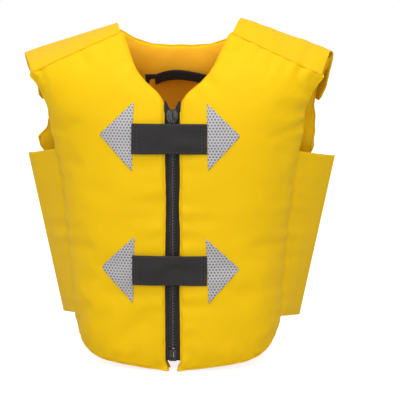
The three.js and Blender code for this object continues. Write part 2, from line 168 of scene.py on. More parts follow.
def through(a, b, c, d, t):
    """A cubic from b to c at shares t, bent toward a and d on either side."""
    v0, v1 = (c - a) / 2, (d - b) / 2
    return (2 * b - 2 * c + v0 + v1) * t**3 + (-3 * b + 3 * c - 2 * v0 - v1) * t**2 + v0 * t + b


def run(*points):
    """A smooth curve through points, as a function of a share of its length."""
    p = np.array(points, float)
    ends = np.vstack([p[0], p, p[-1]])
    t = np.linspace(0, 1, 24, endpoint=False)[:, None]
    dense = np.vstack([*[through(*four, t) for four in zip(ends, ends[1:], ends[2:], ends[3:])], p[-1]])
    length = lengths(dense)
    return lambda u: np.stack([np.interp(u * length[-1], length, dense[:, k]) for k in (0, 1)], -1)


def chain(parts, breaks):
    ends = np.array([0, *breaks, 1.0])

    def at(t):
        k = np.clip(np.searchsorted(ends, t, side="right") - 1, 0, len(parts) - 1)
        share = (t - ends[k]) / (ends[k + 1] - ends[k])
        found = np.stack([part(np.clip(share, 0, 1)) for part in parts])
        return np.take_along_axis(found, k[None, ..., None], 0)[0]

    return at


def coons(foot, top, left, right):
    one, zero = np.array([1.0]), np.array([0.0])

    def at(u, v):
        p = foot(u) * (1 - v)[..., None] + top(u) * v[..., None]
        p = p + left(v) * (1 - u)[..., None] + right(v) * u[..., None]
        p = p - foot(zero) * ((1 - u) * (1 - v))[..., None] - foot(one) * (u * (1 - v))[..., None]
        return p - top(zero) * ((1 - u) * v)[..., None] - top(one) * (u * v)[..., None]

    return at


def flipped(curve):
    return lambda t: curve(t) * (-1, 1)


def side_edge(face, opening):
    return from_side(face, opening[0], SIDE_FOOT), from_side(face, opening[1], SIDE_TOP)


f_side = side_edge("front", FRONT_OPENING)
front_foot = run((4.5, 0), (44, 4), (80, 9), (113, 23), f_side[0])
front_edge = chain(
    [
        run((4.5, 0), (ZIP_HALF - 0.6, 7), (ZIP_HALF, 14)),
        run((ZIP_HALF, 14), (ZIP_HALF, 294)),
        run((ZIP_HALF, 294), (13, 303), (24, 312), (34, 321), (44, 333), (52, 349), NECK_END),
    ],
    [1 / 14, 10 / 14],
)
shoulder_end = from_side("front", 58, 325)
front_side = chain(
    [
        run(*f_side),
        run(f_side[1], from_side("front", 47, 262), from_side("front", 60, 291), shoulder_end),
    ],
    [0.66],
)
front_top = run(NECK_END, shoulder_end)
front_patch = coons(front_foot, front_top, front_edge, front_side)

b_side = side_edge("back", BACK_OPENING)
back_shoulder_end = from_side("back", 19, 342)
back_side = chain(
    [
        run(*b_side),
        run(
            b_side[1], from_side("back", 11, 258), from_side("back", 33, 282), from_side("back", 36, 308),
            back_shoulder_end,
        ),
    ],
    [0.62],
)
bx, bz = b_side[0]
back_foot = run((-bx, bz), (-112, 22), (-60, 5), (0, 2), (60, 5), (112, 22), (bx, bz))
nx, nz = BACK_NECK_END
back_neck = run((-nx, nz), (-50, 363), (-28, 357), (0, 356), (28, 357), (50, 363), (nx, nz))
ex, ez = back_shoulder_end
back_top = chain([run((-ex, ez), (-nx, nz)), back_neck, run((nx, nz), (ex, ez))], [0.3, 0.7])
back_patch = coons(back_foot, back_top, flipped(back_side), back_side)


# ---------------------------------------------------------------- mesh helpers
def ripple(p, wavelength, seed, stretch=(1.0, 1.0), waves=7):
    """A smooth random field of about unit height over 2-D points."""
    draw = np.random.default_rng(seed)
    q = np.asarray(p) / stretch
    total = np.zeros(q.shape[:-1])
    for _ in range(waves):
        a, k, phase = draw.uniform(0, TAU), TAU / (wavelength * draw.uniform(0.7, 1.5)), draw.uniform(0, TAU)
        total += np.sin(k * (q[..., 0] * math.cos(a) + q[..., 1] * math.sin(a)) + phase)
    return total / math.sqrt(waves / 2) / 1.4


def ticks(length, pitch, near=(0, 1.3, 3.2, 6.0)):
    """Shares of an edge, closer together near both ends."""
    inner = np.linspace(near[-1], length - near[-1], max(2, round((length - 2 * near[-1]) / pitch) + 1))
    return np.array([*near[:-1], *inner, *(length - np.array(near[:-1][::-1]))]) / length


def rim_of(rows, cols):
    """Grid indices round the rim, in order."""
    g = np.arange(rows * cols).reshape(rows, cols)
    return np.concatenate([g[0, :-1], g[:-1, -1], g[-1, :0:-1], g[:0:-1, 0]])


def quads(rows, cols, start=0, flip=False):
    g = np.arange(rows * cols).reshape(rows, cols) + start
    f = np.stack([g[:-1, :-1], g[:-1, 1:], g[1:, 1:], g[1:, :-1]], -1).reshape(-1, 4)
    return f[:, ::-1] if flip else f


def walls(a, b, flip=False):
    n = np.roll(np.arange(len(a)), -1)
    f = np.stack([a, b, b[n], a[n]], -1)
    return f[:, ::-1] if flip else f


def new_mesh(name, points, faces, material, uv=None, smooth=True, level=0):
    mesh = bpy.data.meshes.new(name)
    mesh.from_pydata((np.asarray(points, float) * MM).tolist(), [], [tuple(int(i) for i in f) for f in faces])
    mesh.update()
    obj = bpy.data.objects.new(name, mesh)
    bpy.context.scene.collection.objects.link(obj)
    if uv is not None:
        layer = mesh.uv_layers.new(name="cloth")
        corners = np.zeros(len(mesh.loops), int)
        mesh.loops.foreach_get("vertex_index", corners)
        layer.data.foreach_set("uv", (np.asarray(uv, float)[corners] * MM).ravel())
    for m in [material] if isinstance(material, bpy.types.Material) else material:
        mesh.materials.append(m)
    mesh.polygons.foreach_set("use_smooth", [smooth] * len(mesh.polygons))
    if level:
        smoothed(obj, level)
    return obj


def apply_all(obj):
    """Bakes an object's modifiers into its mesh."""
    graph = bpy.context.evaluated_depsgraph_get()
    mesh = bpy.data.meshes.new_from_object(obj.evaluated_get(graph), depsgraph=graph)
    obj.modifiers.clear()
    old, obj.data = obj.data, mesh
    bpy.data.meshes.remove(old)


def smoothed(obj, level=1):
    m = obj.modifiers.new("round", "SUBSURF")
    m.levels = m.render_levels = level
    m.uv_smooth = "NONE"
    apply_all(obj)


def volume(points, faces):
    p = np.asarray(points)
    t = np.array([[f[0], f[i], f[i + 1]] for f in faces for i in range(1, len(f) - 1)], int)
    return float(np.einsum("ij,ij->", p[t[:, 0]], np.cross(p[t[:, 1]], p[t[:, 2]]))) / 6


def closed(name, points, faces, material, uv=None, level=0):
    """A closed mesh with its faces turned outward."""
    points = np.asarray(points, float)
    faces = np.asarray(faces, int)
    if volume(points, faces) < 0:
        faces = faces[:, ::-1]
    return new_mesh(name, points, faces, material, uv, True, level)


def slab(name, base, normal, thickness, material, uv, soft=0.5, level=0):
    """A sheet of even thickness on a grid of base points, with softened edges."""
    rows, cols = base.shape[:2]
    inset = base.copy()
    for index, inner in ((np.s_[0], np.s_[1]), (np.s_[-1], np.s_[-2])):
        inset[index] += unit(base[inner] - base[index]) * soft
        inset[:, index] += unit(base[:, inner] - base[:, index]) * soft
    top = inset + normal * thickness
    rim = rim_of(rows, cols)
    flat, n = base.reshape(-1, 3)[rim], normal.reshape(-1, 3)[rim]
    points = np.vstack([
        top.reshape(-1, 3), flat + n * thickness * 0.72, flat + n * thickness * 0.28, inset.reshape(-1, 3),
    ])
    count, m = rows * cols, len(rim)
    rings = [rim, np.arange(m) + count, np.arange(m) + count + m, rim + count + 2 * m]
    faces = np.vstack([
        quads(rows, cols), *[walls(a, b) for a, b in zip(rings, rings[1:])],
        quads(rows, cols, count + 2 * m, True),
    ])
    uv = uv.reshape(-1, 2)
    return closed(name, points, faces, material, np.vstack([uv, uv[rim], uv[rim], uv]), level)


def mesh_grid(nu, nv):
    u, v = np.meshgrid(np.linspace(0, 1, nu + 1), np.linspace(0, 1, nv + 1))
    return u, v


def grid_normal(base, like=None):
    """Unit normals of a grid of points, on the side of `like` where that is given."""
    du = np.gradient(base, axis=1)
    dv = np.gradient(base, axis=0)
    n = unit(np.cross(du, dv))
    if like is not None:
        n = n * np.where((n * like).sum(-1, keepdims=True) < 0, -1, 1)
    return n


def resampled(path, pitch):
    path = np.asarray(path, float)
    length = lengths(path)
    at = np.linspace(0, length[-1], max(2, round(length[-1] / pitch) + 1))
    return np.stack([np.interp(at, length, path[:, k]) for k in range(path.shape[1])], -1)


def tube(name, path, radius, material, loop=False, sides=8):
    """A round tube along a path."""
    ahead = np.roll(path, -1, 0) - np.roll(path, 1, 0)
    if not loop:
        ahead[0], ahead[-1] = path[1] - path[0], path[-1] - path[-2]
    ahead = unit(ahead)
    side = unit(np.cross(ahead, unit(np.cross(ahead, (0.31, 0.17, 0.93)))))
    up = unit(np.cross(side, ahead))
    angle = np.linspace(0, TAU, sides, endpoint=False)[None, :, None]
    ring = radius * (np.cos(angle) * side[:, None] + np.sin(angle) * up[:, None])
    points = (path[:, None] + ring).reshape(-1, 3)
    n = len(path)
    g = np.arange(n * sides).reshape(n, sides)
    faces = [
        (g[i, j], g[i, (j + 1) % sides], g[(i + 1) % n, (j + 1) % sides], g[(i + 1) % n, j])
        for i in range(n if loop else n - 1) for j in range(sides)
    ]
    if not loop:
        faces += [tuple(g[0, ::-1]), tuple(g[-1])]
    return new_mesh(name, points, faces, material, points[:, :2])


def add_rings(points, faces, rings):
    """Adds one closed form: rings of points in order, with a cap at each end."""
    start, size = len(points), len(rings[0])
    for ring in rings:
        points.extend(ring)
    for i in range(len(rings) - 1):
        for j in range(size):
            a, b = start + i * size + j, start + i * size + (j + 1) % size
            faces.append((a, b, b + size, a + size))
    faces.append(tuple(range(start + size - 1, start - 1, -1)))
    faces.append(tuple(range(len(points) - size, len(points))))


def placed(obj, body, slot=None, *nodes):
    """Makes a piece ride a CAD body, in place of any nodes it replaces. The slot argument is not used."""
    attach(obj, body)
    if nodes:
        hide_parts(*nodes)
    return obj


# ---------------------------------------------------------------- materials
class Nodes:
    """Short calls for building the nodes of a material or a world."""

    def __init__(self, owner):
        owner.use_nodes = True
        self.owner, self.tree = owner, owner.node_tree
        self.shader = self.tree.nodes.get("Principled BSDF")

    def put(self, kind, links=(), **values):
        node = self.tree.nodes.new(kind)
        for key, value in values.items():
            setattr(node, key, value)
        for socket, value in dict(links).items():
            target = node.inputs[socket]
            if isinstance(value, bpy.types.NodeSocket):
                self.tree.links.new(value, target)
            else:
                target.default_value = value
        return node

    def math(self, operation, a, b=0.0, c=0.0):
        return self.put("ShaderNodeMath", {0: a, 1: b, 2: c}, operation=operation).outputs[0]

    def mix(self, share, a, b):
        return self.put("ShaderNodeMix", {0: share, 6: a, 7: b}, data_type="RGBA").outputs[2]

    def noise(self, where, scale, detail=3.0, rough=0.55):
        links = {"Vector": where, "Scale": scale, "Detail": detail, "Roughness": rough}
        return self.put("ShaderNodeTexNoise", links).outputs["Fac"]

    def ramp(self, value, low, high, to_low=0.0, to_high=1.0):
        links = {"Value": value, "From Min": low, "From Max": high, "To Min": to_low, "To Max": to_high}
        return self.put("ShaderNodeMapRange", links).outputs["Result"]

    def bump(self, height, distance, strength=1.0, onto=None):
        links = {"Height": height, "Distance": distance, "Strength": strength}
        if onto is not None:
            links["Normal"] = onto
        return self.put("ShaderNodeBump", links).outputs["Normal"]

    def cloth(self):
        return self.put("ShaderNodeUVMap", uv_map="cloth").outputs["UV"]

    def place(self):
        return self.put("ShaderNodeTexCoord").outputs["Object"]

    def set(self, **values):
        for key, value in values.items():
            self.shader.inputs[key.replace("_", " ")].default_value = value

    def link(self, value, socket):
        self.tree.links.new(value, self.shader.inputs[socket])


def rgba(color, by=1.0):
    return (*[min(1.0, c * by) for c in color], 1.0)


def woven(
    name, color, pitch=0.55, ribs=None, rough=0.55, sheen=0.25, weave=0.05, folds=0.5, tone=0.05, fuzz=0.0,
    shine=0.3,
):
    """Woven cloth: threads over and under or ribs, small creases, faint colour change and worn ridges."""
    n = Nodes(bpy.data.materials.new(name))
    uv, place = n.cloth(), n.place()
    parts = n.put("ShaderNodeSeparateXYZ", {0: uv})
    turn = TAU / (pitch * MM)
    warp = n.math("SINE", n.math("MULTIPLY", parts.outputs[0], turn if ribs != "across" else turn * 0.5))
    weft = n.math("SINE", n.math("MULTIPLY", parts.outputs[1], turn if ribs != "along" else turn * 0.5))
    if ribs == "across":
        thread = n.math("ADD", n.math("ABSOLUTE", warp), n.math("MULTIPLY", weft, 0.25))
    elif ribs == "along":
        thread = n.math("ADD", n.math("ABSOLUTE", weft), n.math("MULTIPLY", warp, 0.25))
    else:
        thread = n.math("MULTIPLY", warp, weft)
    creases = n.noise(place, 38.0, 4.0, 0.6)
    soft = n.noise(place, 11.0, 2.0, 0.5)
    normal = n.bump(soft, 0.0030 * folds)
    normal = n.bump(creases, 0.0012 * folds, 1.0, normal)
    normal = n.bump(thread, weave * MM, 0.6, normal)
    if fuzz:
        normal = n.bump(n.noise(place, 900.0, 6.0, 0.8), fuzz * MM, 1.0, normal)
    n.link(normal, "Normal")
    cloudy = n.ramp(n.noise(place, 9.0, 4.0, 0.6), 0.3, 0.7)
    base = n.mix(cloudy, rgba(color, 1 - tone), rgba(color, 1 + tone))
    base = n.mix(n.ramp(thread, -1.0, 1.0), base, rgba(color, 1 + tone / 2))
    worn = n.ramp(n.put("ShaderNodeNewGeometry").outputs["Pointiness"], 0.52, 0.62)
    light = [min(1.0, 0.94 * c + 0.06) for c in color]
    n.link(n.mix(n.math("MULTIPLY", worn, 0.35), base, rgba(light)), "Base Color")
    grain = n.ramp(n.noise(place, 260.0, 2.0), 0.2, 0.8)
    n.link(n.math("MULTIPLY_ADD", grain, 0.14, rough - 0.07), "Roughness")
    n.set(Sheen_Weight=sheen, Sheen_Roughness=0.4, Specular_IOR_Level=shine)
    n.shader.inputs["Sheen Tint"].default_value = rgba([0.5 + 0.5 * c for c in color])
    return n.owner


def hook_tape(name, color):
    """Rows of stiff hooks on a woven ground."""
    n = Nodes(bpy.data.materials.new(name))
    uv, place = n.cloth(), n.place()
    dots = n.put("ShaderNodeTexVoronoi", {"Vector": uv, "Scale": 1 / (1.25 * MM), "Randomness": 0.25})
    height = n.ramp(dots.outputs["Distance"], 0.42, 0.12)
    normal = n.bump(height, 0.0005, 1.0)
    n.link(n.bump(n.noise(place, 700.0, 4.0, 0.7), 0.0002, 0.7, normal), "Normal")
    n.link(n.mix(height, rgba(color, 0.5), rgba(color, 2.2)), "Base Color")
    n.link(n.math("MULTIPLY_ADD", height, -0.3, 0.85), "Roughness")
    n.set(Sheen_Weight=0.1, Specular_IOR_Level=0.35)
    return n.owner


def reflective(name, color):
    """Prismatic film: honeycomb cells of tiny corner cubes, sealed along thin raised lines."""
    n = Nodes(bpy.data.materials.new(name))
    uv = n.cloth()
    cell = 3.6 * MM
    size = (cell, cell * math.sqrt(3), 1.0)

    def vector(operation, *values):
        return n.put("ShaderNodeVectorMath", dict(enumerate(values)), operation=operation).outputs

    near = []
    for shift in (0.0, 0.5):
        moved = vector("ADD", vector("DIVIDE", uv, size)[0], (shift, shift, 0.0))[0]
        centred = vector("SUBTRACT", vector("FRACTION", moved)[0], (0.5, 0.5, 0.0))[0]
        flat = vector("MULTIPLY", centred, (size[0], size[1], 0.0))[0]
        near.append(vector("LENGTH", flat)["Value"])
    distance = n.math("MINIMUM", *near)
    line = n.ramp(distance, 0.20 * cell, 0.46 * cell)
    prisms = n.put("ShaderNodeTexVoronoi", {"Vector": uv, "Scale": 1 / (0.42 * MM), "Randomness": 0.0})
    normal = n.bump(prisms.outputs["Distance"], 0.00012, 0.5)
    n.link(n.bump(line, 0.00022, 1.0, normal), "Normal")
    broad = n.ramp(n.noise(n.place(), 60.0, 2.0), 0.3, 0.7)
    inner = n.mix(broad, rgba(color, 0.28), rgba(color, 0.42))
    n.link(n.mix(line, inner, rgba(color, 1.30)), "Base Color")
    n.link(n.math("MULTIPLY_ADD", line, 0.22, 0.30), "Roughness")
    n.set(Metallic=0.15, Coat_Weight=0.5, Coat_Roughness=0.18, Specular_IOR_Level=0.55)
    return n.owner


def moulded(name, color, rough=0.35, metal=0.0, wear_and_glint=(0.5, 0.5, 0.5), share=0.5):
    """Smooth plastic or enamelled metal, with fine orange peel and lighter edges: rubbed wear, and on the
    slider also a painted highlight.
    """
    n = Nodes(bpy.data.materials.new(name))
    place = n.place()
    worn = n.ramp(n.put("ShaderNodeNewGeometry").outputs["Pointiness"], 0.53, 0.60)
    wear_and_glint_mask = n.math("MULTIPLY", worn, n.ramp(n.noise(place, 220.0, 4.0, 0.7), 0.35, 0.65))
    n.link(n.mix(n.math("MULTIPLY", wear_and_glint_mask, share), rgba(color), rgba(wear_and_glint)), "Base Color")
    n.link(n.bump(n.noise(place, 1500.0, 2.0), 0.00003, 0.6), "Normal")
    n.link(n.math("MULTIPLY_ADD", n.noise(place, 300.0, 3.0), 0.22, rough - 0.11), "Roughness")
    n.set(Metallic=metal, Specular_IOR_Level=0.5)
    return n.owner


SHELL_COLOR = (0.86, 0.54, 0.003)
DARK = (0.021, 0.020, 0.021)
shell = woven("shell_nylon", SHELL_COLOR, 0.55, rough=0.50, sheen=0.03, folds=0.55, shine=0.10)
# The lining is the shell's nylon drawn brighter and deeper orange: painted light, shade and interreflection
# for the inside of the vest.
lining = woven("lining_nylon_painted_shade", (0.96, 0.48, 0.02), 0.6, rough=0.62, sheen=0.05, folds=0.8, shine=0.12)
webbing = woven("band_webbing", DARK, 1.1, "across", 0.72, 0.06, weave=0.12, folds=0.2, tone=0.15)
hanger_web = woven("hanger_webbing", DARK, 1.3, "along", 0.75, 0.08, weave=0.2, folds=0.2, tone=0.15)
zip_cloth = woven("zip_tape_weave", DARK, 0.9, "along", 0.8, 0.05, weave=0.1, folds=0.3, tone=0.2)
loop_cloth = woven("loop_pile", (0.80, 0.52, 0.015), 0.8, rough=0.95, sheen=0.6, folds=0.2, fuzz=0.5)
TAPE_DARK = (0.03, 0.03, 0.031)
loop_dark = woven("loop_pile_dark", TAPE_DARK, 0.8, rough=0.95, sheen=0.4, folds=0.2, fuzz=0.5, tone=0.2)
hooks = hook_tape("hook_rows", TAPE_DARK)
film = reflective("prismatic_film", (0.42, 0.42, 0.45))
plastic = moulded("zip_acetal", (0.018, 0.018, 0.019), 0.30, 0.0, (0.06, 0.06, 0.06), 0.6)
# Lighter grey for the small domes on the teeth: a painted highlight for the glints on the tooth tips.
highlight_nub_plastic = moulded("zip_acetal_painted_highlight", (0.24, 0.24, 0.25), 0.25, 0.0, (0.2, 0.2, 0.2), 0.3)
# The slider's lighter rubbed edges are partly wear and partly a painted highlight for its glint.
enamel = moulded("slider_enamel", (0.045, 0.045, 0.047), 0.20, 0.75, (0.35, 0.35, 0.35), 0.35)
yellow_thread = moulded("shell_thread", (0.84, 0.54, 0.01), 0.6, 0.0, (0.9, 0.62, 0.05), 0.3)
dark_thread = moulded("dark_thread", (0.05, 0.05, 0.052), 0.6, 0.0, (0.12, 0.12, 0.12), 0.3)
pale_thread = moulded("pale_thread", (0.50, 0.50, 0.52), 0.6, 0.0, (0.7, 0.7, 0.7), 0.3)

# ---------------------------------------------------------------- padded panels
EDGE_DEPTH, INNER_DEPTH, NECK_DEPTH = 6.5, 4.5, 15.0
# How wide the soft edges are: by the zip or neck, along the other edges, and inside.
CRISP, BROAD, INNER_BROAD, NECK_BROAD = 7.0, 20.0, 9.0, 24.0
# The front pads' soft edges reach past the seam line, so that their outlines stay in place.
# At the arm, then lower down.
GROWN, GROWN_SIDE = 3.0, 6.5
BULGE = 12.0  # the back panel stands out between its armhole and side flap on the wearer's right
SIM_FRAMES, SIM_PRESSURE, SIM_CAP = 20, 3.0, 2.6
START_SHRINK = 1.4


def distance_to(border, p):
    """Each point's distance to a closed border, and how far along the border its nearest point is."""
    along = lengths(border)
    flat = p.reshape(-1, 2)
    d = np.linalg.norm(flat[:, None] - border[None], axis=2)
    k = d.argmin(1)
    return d.min(1).reshape(p.shape[:-1]), along[k].reshape(p.shape[:-1])


def nearest(border, p):
    """Which point of a border is nearest to each point."""
    flat = p.reshape(-1, 2)
    return np.linalg.norm(flat[:, None] - border[None], axis=2).argmin(1).reshape(p.shape[:-1])


def fallen(d, depth, width):
    """How far a soft edge falls back at distance d from the rim: a quarter ellipse."""
    x = 1 - np.minimum(d / width, 1)
    return depth * (1 - np.sqrt(np.maximum(1 - x**2, 0)))


def both(a, b):
    return (a**3 + b**3) ** (1 / 3)


def window(x, middle, half):
    """A smooth hump, 1 in the middle and 0 beyond half."""
    return np.where(np.abs(x - middle) < half, 0.5 + 0.5 * np.cos(math.pi * (x - middle) / half), 0.0)


def simulate(obj, pins, cap):
    """Swells the cover with Cloth pressure, and limits how far each point goes."""
    rest = np.array([v.co for v in obj.data.vertices])
    group = obj.vertex_groups.new(name="sewn")
    for index, weight in pins:
        group.add([int(index)], float(weight), "REPLACE")
    cloth = obj.modifiers.new("cloth", "CLOTH")
    s = cloth.settings
    s.quality, s.mass, s.air_damping = 6, 0.3, 2.0
    s.tension_stiffness = s.compression_stiffness = s.shear_stiffness = 30
    s.bending_stiffness = 0.8
    s.use_pressure, s.uniform_pressure_force = True, SIM_PRESSURE
    s.shrink_min = -0.012
    s.vertex_group_mass = "sewn"
    s.effector_weights.gravity = 0
    cloth.collision_settings.use_collision = False
    cloth.collision_settings.use_self_collision = False
    cloth.point_cache.frame_start, cloth.point_cache.frame_end = 1, SIM_FRAMES
    for number in range(1, SIM_FRAMES + 1):
        bpy.context.scene.frame_set(number)
    graph = bpy.context.evaluated_depsgraph_get()
    moved = np.array([v.co for v in obj.evaluated_get(graph).data.vertices])
    obj.modifiers.clear()
    obj.vertex_groups.clear()
    bpy.context.scene.frame_set(1)
    step = moved - rest
    size = np.linalg.norm(step, axis=1, keepdims=True)
    limit = cap * MM
    step *= limit * np.tanh(size / limit) / np.maximum(size, 1e-9)
    obj.data.vertices.foreach_set("co", (rest + step).astype(np.float32).ravel())
    obj.data.update()


class Panel:
    """One padded panel: its plane grid, its closed pad and its seam lines."""

    def __init__(self, name, face, patch, size, pitch, side, seed, body, crisp):
        self.name, self.face, self.side, self.body = name, face, side, body
        u, v = np.meshgrid(ticks(size[0], pitch), ticks(size[1], pitch))
        self.plane = patch(u, v)
        rows, cols = u.shape
        rim = rim_of(rows, cols)
        flat = self.plane.reshape(-1, 2)
        dense = resampled(np.vstack([flat[rim], flat[rim[:1]]]), 1.0)
        self.border = dense
        d, along = distance_to(dense, self.plane)
        self.depth = d
        sharp = np.vstack([patch(*np.meshgrid(*line)).reshape(-1, 2) for line in crisp])
        near = distance_to(sharp, self.plane)[0]
        soft_line = dense[distance_to(sharp, dense)[0] > 6]
        far = distance_to(soft_line, self.plane)[0]
        if face == "front":
            tangent = unit(np.roll(dense, -4, 0) - np.roll(dense, 4, 0))
            outside = np.stack([tangent[:, 1], -tangent[:, 0]], -1)
            low = np.clip((SIDE_TOP - 20 - self.plane[..., 1]) / 60, 0, 1)
            grown = (GROWN + (GROWN_SIDE - GROWN) * low) * np.clip((self.plane[..., 0] - 70) / 50, 1 - low, 1)
            step = grown * np.exp(-d / 10) * np.clip((self.plane[..., 0] - ZIP_HALF) / 12, 0, 1)
            self.plane = self.plane + step[..., None] * outside[nearest(dense, self.plane)]
            by_zip = np.exp(-near / 8) * (self.plane[..., 0] < 20) * window(self.plane[..., 1], 155, 135)
            wavy = 0.5 + 0.5 * ripple(self.plane * (0, 1), 75.0, seed + 9)
            self.plane[..., 0] -= 1.3 * wavy * by_zip
        s, z = self.plane[..., 0] * side, self.plane[..., 1]
        drop = np.minimum(both(fallen(near, EDGE_DEPTH, CRISP), fallen(far, EDGE_DEPTH, BROAD)), EDGE_DEPTH)
        outer_height = -drop + self.folds(d, along, seed)
        rise = fallen(d, INNER_DEPTH, INNER_BROAD)
        if face == "back":
            line = np.stack([along, np.zeros_like(along)], -1)
            gathers = ripple(line, 24.0, 91) * np.exp(-near / 22) * np.clip(near / 5, 0, 1)
            rise = np.maximum(rise, fallen(near, NECK_DEPTH, NECK_BROAD)) + 1.3 * gathers
        inner_height = -PANEL_THICKNESS + 1.0 + rise
        rim_inner = inner_height.reshape(-1)[rim]
        depths = [-EDGE_DEPTH + (rim_inner + EDGE_DEPTH) * k / 4 for k in (1, 2, 3)]
        outer = off(face, s, z, outer_height) + self.bulge(s, z)
        inner = off(face, s, z, inner_height) + self.bulge(s, z)
        rim_s, rim_z = s.reshape(-1)[rim], z.reshape(-1)[rim]
        normal = outward(face, rim_s, rim_z)
        rings = [skin(face, rim_s, rim_z) + normal * h[:, None] + self.bulge(rim_s, rim_z) for h in depths]
        middle = off(face, s, z, np.full(s.shape, -PANEL_THICKNESS / 2)).reshape(-1, 3)
        # The gusset sits a little inside the seams.
        inward = unit(middle.mean(0) - rings[1])
        rings = [r + inward * 0.8 for r in rings]
        count, m = rows * cols, len(rim)
        points = np.vstack([outer.reshape(-1, 3), *rings, inner.reshape(-1, 3)])
        self.rim, inner_start = rim, count + len(rings) * m
        loops = [rim, *[np.arange(m) + count + k * m for k in range(len(rings))], rim + inner_start]
        faces = np.vstack([
            quads(rows, cols), *[walls(a, b) for a, b in zip(loops, loops[1:])],
            quads(rows, cols, inner_start, True),
        ])
        away = unit(flat[rim] - flat.mean(0))
        uv = np.vstack([flat, *[flat[rim] - away * h[:, None] for h in depths], flat])
        self.pad = closed(f"{name}_pad", points, faces, shell, uv)
        pins = [(i, 1.0) for i in (*rim, *(rim + inner_start))]
        pins += [(i, 0.25) for i in range(count, inner_start)]
        simulate(self.pad, pins, SIM_CAP)
        got = np.array([v.co for v in self.pad.data.vertices]) / MM
        self.outer = got[:count].reshape(rows, cols, 3)
        self.inner = got[inner_start:].reshape(rows, cols, 3)
        smoothed(self.pad, 1)
        placed(self.pad, body, "shell_fabric", f"{name}_cover", f"{name}_foam")

    def bulge(self, s, z):
        if self.face == "front":
            return 0.0
        upright = np.minimum(1.4 * window(z, 241, 20), 1)
        size = BULGE * upright * np.clip((-s - girth("back", z) + 45) / 30, 0, 1)
        return np.stack([-size, 0 * size, 0 * size], -1)

    def folds(self, d, along, seed):
        """Low soft folds, and short puckers that start at the seams and die out."""
        low = 0.8 * ripple(self.plane, 100.0, seed, (1.0, 1.7))
        crossing = 0.35 * ripple(self.plane, 42.0, seed + 5, (2.4, 1.0))
        stretch = np.stack([along, np.zeros_like(along)], -1)
        lively = 0.9 + 0.6 * ripple(stretch, 90.0, seed + 1)
        pucker = ripple(stretch + self.plane[..., ::-1] * (0.05, 0), 19.0, seed + 2, waves=5)
        reach = np.exp(-np.maximum(d - 4.0, 0) / 15.0)
        return ((low + crossing) * np.clip(d / 25, 0, 1) - START_SHRINK * np.clip(d / 8, 0, 1)
                + 1.0 * lively * pucker * reach * np.clip(d / 2.5, 0, 1))

    def seam(self, inner=False):
        return (self.inner if inner else self.outer).reshape(-1, 3)[self.rim]


SWEEP = np.linspace(0, 1, 240)
ZIP_AND_TOP = [([0.0], SWEEP), (SWEEP, [1.0])]
NECK_LINE = [(0.3 + 0.4 * SWEEP, [1.0])]
front_left = Panel("front_left", "front", front_patch, (175, 330), 5.0, 1, 11, "front_left", ZIP_AND_TOP)
front_right = Panel("front_right", "front", front_patch, (175, 330), 5.0, -1, 23, "front_right", ZIP_AND_TOP)
back = Panel("back", "back", back_patch, (350, 350), 6.0, 1, 37, "back", NECK_LINE)
PANELS = (front_left, front_right, back)


# ---------------------------------------------------------------- what lies on the panels
def tree_of(objects):
    points, faces = [], []
    for o in objects:
        start = len(points)
        points += [tuple(v.co / MM) for v in o.data.vertices]
        faces += [tuple(i + start for i in p.vertices) for p in o.data.polygons]
    return BVHTree.FromPolygons(points, faces)


TREES = {"front": tree_of([front_left.pad, front_right.pad]), "back": tree_of([back.pad])}
REACH_OUT, TOO_LOW = 30.0, -7.0
FOLD_BEAD, WELT = 1.2, 0.75
# How far over the panel the loop tapes, the hook tapes and the tails lie, and how thick a tape is.
LOOP_LIES, HOOKS_LIE, TAIL_LIES, TAPE = 0.3, 1.8, 3.4, 0.9


def settled(face, s, z, stiff=2):
    """Heights over the plain surface at which a piece rests on the panels, smoothed as it is stiff."""
    start, n = off(face, s, z, np.full(np.shape(s), REACH_OUT)), outward(face, s, z)
    height = np.full(s.shape, np.nan)
    for index in np.ndindex(s.shape):
        hit = TREES[face].ray_cast(Vector(start[index]), Vector(-n[index]), REACH_OUT - TOO_LOW)
        if hit[0] is not None:
            height[index] = REACH_OUT - hit[3]
    for row in height:
        known = ~np.isnan(row)
        row[:] = np.interp(np.arange(len(row)), np.flatnonzero(known), row[known]) if known.any() else 0.0
    for _ in range(stiff):
        p = np.pad(height, 1, mode="edge")
        rows, cols = height.shape
        shifted = [p[a:a + rows, b:b + cols] for a in (0, 1, 2) for b in (0, 1, 2)]
        height = np.maximum(height, np.mean(shifted, 0))
    return height


def laid(
    name, face, grid, low, thickness, material, body, slot, node, stiff=2, soft=0.5, wave=0.0, hung=None,
):
    """A thin piece over the panels, from a grid of s, z and flat places, hung from a line if one is given."""
    s, z, plane = grid
    height = settled(face, s, z, stiff) + low + wave
    base, normal = off(face, s, z, height), outward(face, s, z)
    if hung is not None:
        share = np.clip(np.linspace(0, 1, len(s)) / 0.3, 0, 1)[:, None, None]
        base = hung + (base - hung) * share * (2 - share)
        normal = grid_normal(base, normal)
    obj = placed(slab(name, base, normal, thickness, material, plane, soft), body, slot, node)
    return obj, base + normal * thickness, normal


def shell_sheet(name, base, normal, thickness, plane, soft, body, node, level=0):
    """A sheet of the shell's cloth. Its flat size is the flat place of its last corner."""
    obj = placed(slab(name, base, normal, thickness, shell, plane, soft, level), body, "shell_fabric", node)


def fold_bead(name, path, body):
    """The rolled edge where a strap or flap turns over."""
    placed(tube(name, resampled(path, 3.0), FOLD_BEAD, shell), body, "shell_fabric")


def outline_of(top, normal, margin):
    """The closed line at a margin inside a grid's border, with its normals."""
    width = np.linalg.norm(np.diff(top, axis=1), axis=2).sum(1).mean()
    height = np.linalg.norm(np.diff(top, axis=0), axis=2).sum(0).mean()
    mu, mv = min(0.4, margin / width), min(0.4, margin / height)
    corners = [(mu, mv), (1 - mu, mv), (1 - mu, 1 - mv), (mu, 1 - mv), (mu, mv)]
    sides = [np.linspace(a, b, 40, endpoint=False) for a, b in zip(corners, corners[1:])]
    path = np.vstack([*sides, corners[:1]])
    return sampled(top, path), sampled(normal, path)


